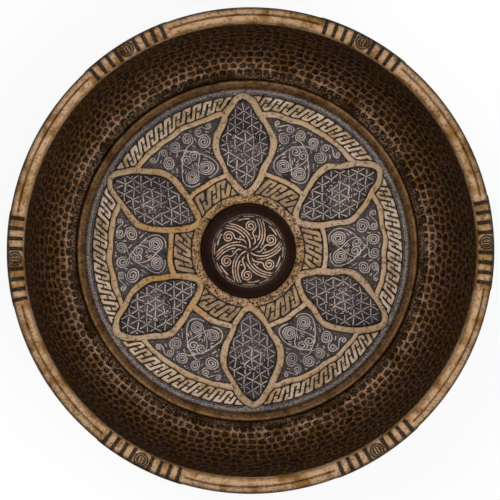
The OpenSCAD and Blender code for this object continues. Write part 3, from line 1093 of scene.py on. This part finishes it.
# Short strokes that fill half a scroll panel: start and end of each, in millimetres
HATCHES = (
    ((42.6, 0.7), (44.4, 1.7)), ((44.0, 0.4), (45.2, 1.0)), ((43.2, 6.0), (44.5, 4.6)),
    ((44.3, 6.4), (45.4, 5.3)), ((37.4, 8.7), (39.2, 9.5)), ((39.4, 8.9), (41.8, 9.7)),
    ((42.4, 9.0), (44.8, 9.2)), ((45.4, 8.6), (47.2, 7.4)), ((45.8, 10.2), (47.4, 9.4)),
    ((46.8, 11.2), (48.4, 12.6)), ((50.6, 0.6), (51.6, 0.2)), ((51.0, 4.6), (52.2, 3.4)),
    ((53.0, 6.2), (54.4, 6.0)), ((57.2, 6.3), (57.9, 5.4)), ((53.0, 13.0), (54.2, 11.8)),
    ((57.0, 12.6), (57.3, 13.8)), ((57.9, 1.0), (58.3, 0.2)),
)


def scroll_strokes():
    """Strokes of one scroll panel with the panel's axis along +X, in millimetres."""
    heart = spiral((48.0, 1.75), 2.4, 1.85, math.radians(100), 1)
    great = spiral((40.4, -3.9), 3.05, 3.0, math.radians(115), -1)[::-1]
    beside_great = Vector((40.4, 3.9))
    round_great = [beside_great + polar(4.2, a).to_2d() for a in np.linspace(3.5, 1.31, 22)]
    top = spiral((55.4, -3.0), 2.6, 2.4, math.radians(165), -1)[::-1]
    volute = spiral((50.9, 8.9), 2.8, 2.4, math.radians(65), -1)
    small = spiral((55.8, 9.0), 1.7, 1.7, math.radians(-120), -1)[::-1]
    stem = [Vector((57.5, 9.7)), Vector((57.2, 10.6))]
    curl = spiral((55.7, 14.6), 1.15, 1.3, math.pi, 1)[::-1]
    half = [
        joined(heart, great, 2.5, 2.5),
        joined(round_great, top, 4.5, 2.5),
        joined(volute, small, 2.4, 2.4),
        joined(stem, curl, 1.6, 1.6),
    ]
    half += [[Vector(start), Vector(end)] for start, end in HATCHES]
    return half + [[Vector((p.x, -p.y)) for p in stroke] for stroke in half]


class BATHBOWL_OT_scroll_panels(Operator):
    """Chase the spiral scrolls of the panels between the petals"""

    bl_idname = "bath_bowl.scroll_panels"
    bl_label = "Scroll panels"

    def execute(self, context):
        sizes, _, lay = kit(context)
        edge = petal_offset(petal_side(lay), sizes.petal_strap / 2 + sizes.fit_gap + CHASE_INSET)
        arc_inset = sizes.fit_gap + 0.4 * MM
        low, high = lay.inner_arc_out + arc_inset, lay.outer_arc_in - arc_inset

        def inside(place):
            beside = SECTOR / 2 - abs(math.atan2(place.y, place.x))
            return low < place.length < high and beside > petal_angle(edge, place.length)

        strokes = [[p * MM for p in stroke] for stroke in scroll_strokes()]
        kept = clipped(strokes, inside, step=0.28 * MM, shortest=0.4 * MM)
        work = bmesh.new()
        raised = lifted(kept, lay.ground_z + LINE_LIFT)
        add_ridges(work, raised, sizes.scroll_line, resolution=0, tip=0.6)
        relief = by_height(lay.ground_z + 0.02 * MM, lay.ground_z + 0.16 * MM)
        panels("scroll_panel", "scroll_field", work, relief, grey_finish())
        return {"FINISHED"}


def hook_outline(pitch, height, stem, tail):
    """Outline of one S hook: a leaning stem, a hook down at its top and a hook up at its foot."""
    lean = 0.56
    bar, middle = 0.2 * height, 0.042 * height
    column, half = pitch / 2, height / 2
    upper = (
        (stem, half - bar),
        (column - tail, half - bar),
        (column - tail, middle),
        (column + tail, middle),
        (column + tail, half - 0.5 * bar),
        (column + tail - 0.4 * bar, half),
        (-stem + 0.35 * bar, half),
        (-stem, half - 0.4 * bar),
    )
    lower = tuple((-x, -y) for x, y in upper)
    return [(x + y * lean, y) for x, y in upper + lower]


def fret_hooks(lay, sizes, inner, outer, pitch, stem, tail):
    """Bevelled hooks along one fret panel, with the panel's middle along +X."""
    edge, outer_edge, root, bevel = 0.12 * MM, 0.3 * MM, 0.1 * MM, 0.16 * MM
    low, high = inner + sizes.fit_gap + edge, outer - sizes.fit_gap - outer_edge
    middle = (low + high) / 2
    count = int(SECTOR * middle / pitch) + 2
    bm = bmesh.new()
    for index in range(count):
        place = (index - (count - 1) / 2) * pitch
        corners = []
        for x, y in hook_outline(pitch, high - low, stem, tail):
            corners.append(bm.verts.new(polar(middle + y, -(place + x) / middle, lay.ground_z - root)))
        face = bm.faces.new(corners)
        top = bmesh.ops.extrude_face_region(bm, geom=[face])["geom"]
        raised = [g for g in top if isinstance(g, bmesh.types.BMVert)]
        bmesh.ops.translate(bm, verts=raised, vec=(0, 0, sizes.relief + root))
        rim = [g for g in top if isinstance(g, bmesh.types.BMEdge)]
        bmesh.ops.bevel(
            bm,
            geom=rim,
            offset=bevel,
            offset_type="OFFSET",
            segments=2,
            profile=0.5,
            affect="EDGES",
            material=-1,
        )
    line = petal_offset(petal_side(lay), sizes.petal_strap / 2 + sizes.fit_gap + edge)
    for side in (-1, 1):
        shore = []
        for radius in np.linspace(inner, outer, 7):
            angle = SECTOR / 2 - petal_angle(line, radius)
            shore.append(polar(radius, side * angle))
        way = (shore[-1] - shore[0]).normalized()
        across = Vector((way.y, -way.x, 0.0)) * -side
        bmesh.ops.bisect_plane(
            bm,
            geom=bm.verts[:] + bm.edges[:] + bm.faces[:],
            dist=WELD / 2,
            plane_co=min(shore, key=lambda place: place.dot(across)),
            plane_no=across,
            clear_outer=True,
        )
    cap_ends(bm)
    return bm


class BATHBOWL_OT_frets(Operator):
    """Cut the hooks of the outer and the inner frets"""

    bl_idname = "bath_bowl.frets"
    bl_label = "Frets"

    def execute(self, context):
        sizes, tone, lay = kit(context)
        relief = by_height(lay.ground_z + 0.35 * sizes.relief, lay.ground_z + 0.9 * sizes.relief)
        # Inner and outer limit and pitch of the hooks, half widths of stem and tail as shares of the pitch
        outer_hooks = (lay.outer_arc_out, lay.margin_in - 0.25 * MM, sizes.hook_pitch, 0.155, 0.152)
        inner_hooks = (lay.ring_out + 0.35 * MM, lay.inner_arc_in, sizes.inner_pitch, 0.185, 0.155)
        for kind, finish, ridge, wear, hooks in (
            ("outer_fret", "worn_frets", tone.fret_ridge, 0.3, outer_hooks),
            ("inner_fret", "dark_frets", tone.fret_inner, 0.35, inner_hooks),
        ):
            inner, outer, pitch, stem, tail = hooks
            work = fret_hooks(lay, sizes, inner, outer, pitch, stem * pitch, tail * pitch)
            material = patina(finish, tone.fret_hollow, ridge, tone.fret_warm, wear=wear)
            panels(kind, f"{kind}_hooks", work, relief, material, smooth_angle=25.0)
        return {"FINISHED"}


class BATHBOWL_OT_boss(Operator):
    """Raise the hollow boss and its foot flange"""

    bl_idname = "bath_bowl.boss"
    bl_label = "Boss"

    def execute(self, context):
        sizes, tone, lay = kit(context)
        shoulder_x = sizes.boss - sizes.boss_round
        shoulder_z = lay.face_z + math.sqrt((sizes.face - sizes.boss_round) ** 2 - shoulder_x**2)
        meet = math.atan2(shoulder_z - lay.face_z, shoulder_x)
        seat_r = lay.disc_r + sizes.fit_gap
        ceiling = lay.disc_z - sizes.boss_wall
        inner_round = sizes.boss_round - sizes.boss_wall
        inner_angle = math.asin((ceiling - shoulder_z) / inner_round)
        flange_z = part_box("boss_cap")[0].z + (lay.plate_z - sizes.wall) - sizes.fit_gap
        profile = [(0.0, ceiling)] + arc(shoulder_x, shoulder_z, inner_round, inner_angle, 0.0, 8)
        profile += [
            (sizes.boss - sizes.boss_wall, lay.floor_z),
            (lay.flange_r, lay.floor_z),
            (lay.flange_r, flange_z),
            (sizes.boss, flange_z),
            (sizes.boss, flange_z + 0.05 * MM),
        ]
        profile += arc(shoulder_x, shoulder_z, sizes.boss_round, 0.0, meet, 14)
        profile += arc(0.0, lay.face_z, sizes.face, meet, math.acos(seat_r / sizes.face), 3)[1:]
        profile += [(seat_r, lay.disc_z), (0.0, lay.disc_z)]
        bm = spun(profile, steps=240)
        # Above the flange the side stands in a little from its solid, unevenly
        narrowed, uneven, uneven_size = 0.966, 0.004, 3.2 * MM
        for corner in bm.verts:
            out = math.hypot(corner.co.x, corner.co.y)
            if corner.co.z > flange_z + 0.02 * MM and out > seat_r + 0.2 * MM:
                share = narrowed + uneven * (noise.noise(corner.co / uneven_size) - 0.5)
                corner.co.x *= share
                corner.co.y *= share
        side = tone.boss_side
        material = patina("boss_dark", darker(side, 0.55), side, darker(side, 0.6), wear=0.45)
        relief = np.full(len(bm.verts), 0.6)
        finish_piece("boss_dome", "boss_cap", bm, relief, material, smooth_angle=50.0)
        return {"FINISHED"}


# Short arcs of the rosette in each sector, in millimetres and shares of the sector: radius, start, end
LEAVES = ((14.9, 0.1, 0.46), (14.9, 0.56, 0.92), (13.8, 0.3, 0.7), (7.0, 0.3, 0.44), (5.4, 0.66, 0.78))


def rosette_strokes():
    """Six turning sprays, each three lines wide, with spirals and leaves between, in millimetres."""
    eye_r, root_r, rim_r, twist, bend = 10.6, 4.2, 15.0, 1.25, 0.8
    line_gap, curl_r, curl_turns, bridge = 1.4, 2.5, 2.0, 1.6

    def whirled(radius, sectors, turn=0.0):
        angle = sectors * SECTOR + twist * (radius / rim_r) ** bend
        return polar(radius, angle + turn).to_2d()

    strokes = []
    for k in range(PETALS):
        for aside in (-line_gap, 0.0, line_gap):
            reach = np.linspace(0.9 if aside == 0 else 5.6, rim_r - 0.4 * abs(aside), 16)
            strokes.append([whirled(r, k, aside / r) for r in reach])
        eye = whirled(eye_r, k + 0.5)
        toward = math.atan2(-eye.y, -eye.x)
        curl = spiral(eye, curl_r, curl_turns, toward + 0.6, -1)
        root = whirled(root_r, k + 0.42)
        strokes.append(joined(curl, [root, root * 0.7], bridge, bridge))
        for radius, start, end in LEAVES:
            strokes.append([whirled(radius, k + t) for t in np.linspace(start, end, 8)])
    return strokes


class BATHBOWL_OT_roundel(Operator):
    """Engrave the disc on the boss with a turning rosette"""

    bl_idname = "bath_bowl.roundel"
    bl_label = "Boss face"

    def execute(self, context):
        sizes, tone, lay = kit(context)
        sunk, edge_width, edge_slope, rings = 0.3 * MM, 0.4 * MM, 0.3 * MM, 10

        def face(radius):
            return lay.face_z + np.sqrt(sizes.face**2 - radius**2)

        edge = face(lay.disc_r)
        edge_in = lay.disc_r - edge_width
        profile = [(0.0, lay.disc_z), (lay.disc_r, lay.disc_z), (lay.disc_r, edge), (edge_in, edge)]
        steps = [(edge_in - edge_slope) * (1 - i / rings) for i in range(rings + 1)]
        profile += [(radius, face(radius) - sunk) for radius in steps]
        bm = spun(profile, steps=144)
        strokes = []
        for stroke in rosette_strokes():
            flat = [p * MM for p in stroke]
            strokes.append([(p.x, p.y, face(p.length) - sunk) for p in flat])
        add_ridges(bm, strokes, sizes.rosette_line, resolution=1, tip=0.4)

        def relief(places):
            out = radii(places)
            # Painted shade: the face darkens towards the disc's edge, where the boss's dome turns away from
            # the light
            edge_shade, edge_from = 0.8, 0.86
            lit = 1 - edge_shade * ramp(edge_from * lay.disc_r, lay.disc_r, out)
            return lit * ramp(0.02 * MM, 0.3 * MM, places[:, 2] - (face(out) - sunk))

        line = tone.boss_line
        material = patina("engraved_bronze", tone.boss_ground_and_shade, line, darker(line, 0.62), wear=0.14)
        finish_piece("boss_rosette", "boss_roundel", bm, relief, material, smooth_angle=60.0)
        return {"FINISHED"}


# Stage


def pale_surface(material, share):
    """A white ground that shows white to the camera and keeps the shadows that fall on it."""
    material.use_nodes = True
    tree = material.node_tree
    tree.nodes.clear()
    path = add_node(tree, "LightPath", {}).outputs
    seen = path["Is Camera Ray"]
    for ray in ("Is Glossy Ray", "Is Transmission Ray"):
        seen = add_node(tree, "Math", {0: seen, 1: path[ray]}, operation="MAXIMUM").outputs["Value"]
    part = add_node(tree, "Math", {0: seen, 1: share}, operation="MULTIPLY").outputs["Value"]
    dull = add_node(tree, "BsdfDiffuse", {"Color": (0.85, 0.85, 0.85, 1.0)}).outputs["BSDF"]
    bright = add_node(tree, "Emission", {}).outputs["Emission"]
    mixed = add_node(tree, "MixShader", {0: part, 1: dull, 2: bright}).outputs["Shader"]
    add_node(tree, "OutputMaterial", {"Surface": mixed})


class BATHBOWL_OT_stage(Operator):
    """Set the floor, the studio light and the camera over the bowl"""

    bl_idname = "bath_bowl.stage"
    bl_label = "Stage"

    def execute(self, context):
        bm = bmesh.new()
        bmesh.ops.create_grid(bm, x_segments=1, y_segments=1, size=3.0)
        mesh = bpy.data.meshes.new("floor")
        bm.to_mesh(mesh)
        bm.free()
        floor = bpy.data.objects.new("floor", mesh)
        context.scene.collection.objects.link(floor)
        floor.location.z = -0.05 * MM
        ground = bpy.data.materials.new("pale_floor")
        pale_surface(ground, share=0.86)
        mesh.materials.append(ground)
        self.sky(context.scene)
        self.lamp("key", (-0.55, 0.6, 0.95), size=0.7, watts=7.5)
        self.lamp("fill", (0.6, -0.5, 0.9), size=0.9, watts=8.2)
        self.camera(context.scene)
        context.scene.view_settings.view_transform = "Standard"
        return {"FINISHED"}

    def sky(self, scene):
        """Even pale light from all round, and white where the camera looks past the floor."""
        scene.world = bpy.data.worlds.new("studio")
        scene.world.use_nodes = True
        tree = scene.world.node_tree
        seen = add_node(tree, "LightPath", {}).outputs["Is Camera Ray"]
        strength = add_node(tree, "MapRange", {"Value": seen, "To Min": 0.5, "To Max": 1.0})
        values = {"Color": (1.0, 1.0, 1.0, 1.0), "Strength": strength.outputs["Result"]}
        put(tree.nodes["Background"], values)

    def lamp(self, name, place, size, watts):
        """A square soft light that faces the bowl."""
        light = bpy.data.lights.new(name, "AREA")
        light.size = size
        light.energy = watts
        lamp = bpy.data.objects.new(name, light)
        bpy.context.scene.collection.objects.link(lamp)
        lamp.location = place
        lamp.rotation_euler = (-Vector(place)).to_track_quat("-Z", "Y").to_euler()

    def camera(self, scene):
        """Looks straight down from a little left of the bowl's axis, as the photograph does."""
        distance, offset, roll, width_seen = 0.62, 0.024, math.radians(2.0), 204.25 * MM
        target = Vector((0.0, 0.0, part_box("rim_band")[1].z))
        right = Vector((math.cos(roll), -math.sin(roll), 0.0))
        place = target + Vector((0.0, 0.0, distance)) - offset * right
        back = (place - target).normalized()
        right = (right - back * right.dot(back)).normalized()
        up = back.cross(right)
        data = bpy.data.cameras.new("camera")
        data.sensor_width = 36.0
        data.lens = data.sensor_width * math.hypot(distance, offset) / width_seen
        data.shift_x = -0.0044
        data.shift_y = 0.0011
        camera = bpy.data.objects.new("camera", data)
        scene.collection.objects.link(camera)
        camera.matrix_world = Matrix.Translation(place) @ Matrix((right, up, back)).transposed().to_4x4()
        scene.camera = camera


PIECE_OPERATORS = (
    BATHBOWL_OT_shell,
    BATHBOWL_OT_rim,
    BATHBOWL_OT_bezel,
    BATHBOWL_OT_margin,
    BATHBOWL_OT_straps,
    BATHBOWL_OT_petal_panels,
    BATHBOWL_OT_scroll_panels,
    BATHBOWL_OT_frets,
    BATHBOWL_OT_boss,
    BATHBOWL_OT_roundel,
    BATHBOWL_OT_stage,
)


class BATHBOWL_PT_panel(Panel):
    """Lists the steps that dress the bowl"""

    bl_idname = "BATHBOWL_PT_panel"
    bl_label = "Bath Bowl"
    bl_space_type = "VIEW_3D"
    bl_region_type = "UI"
    bl_category = "Bath Bowl"

    def draw(self, context):
        for operator in PIECE_OPERATORS:
            self.layout.operator(operator.bl_idname)
        for group in (context.scene.bath_bowl_sizes, context.scene.bath_bowl_colours):
            box = self.layout.box()
            for name in group.__annotations__:
                box.prop(group, name)


CLASSES = (BathBowlSizes, BathBowlColours, *PIECE_OPERATORS, BATHBOWL_PT_panel)


def register():
    for item in CLASSES:
        bpy.utils.register_class(item)
    bpy.types.Scene.bath_bowl_sizes = PointerProperty(type=BathBowlSizes)
    bpy.types.Scene.bath_bowl_colours = PointerProperty(type=BathBowlColours)


def unregister():
    del bpy.types.Scene.bath_bowl_colours
    del bpy.types.Scene.bath_bowl_sizes
    for item in reversed(CLASSES):
        bpy.utils.unregister_class(item)


def main():
    """Dresses the bowl, running each step in turn."""
    register()
    for operator in PIECE_OPERATORS:
        group, name = operator.bl_idname.split(".")
        getattr(getattr(bpy.ops, group), name)()


if __name__ == "__main__":
    main()
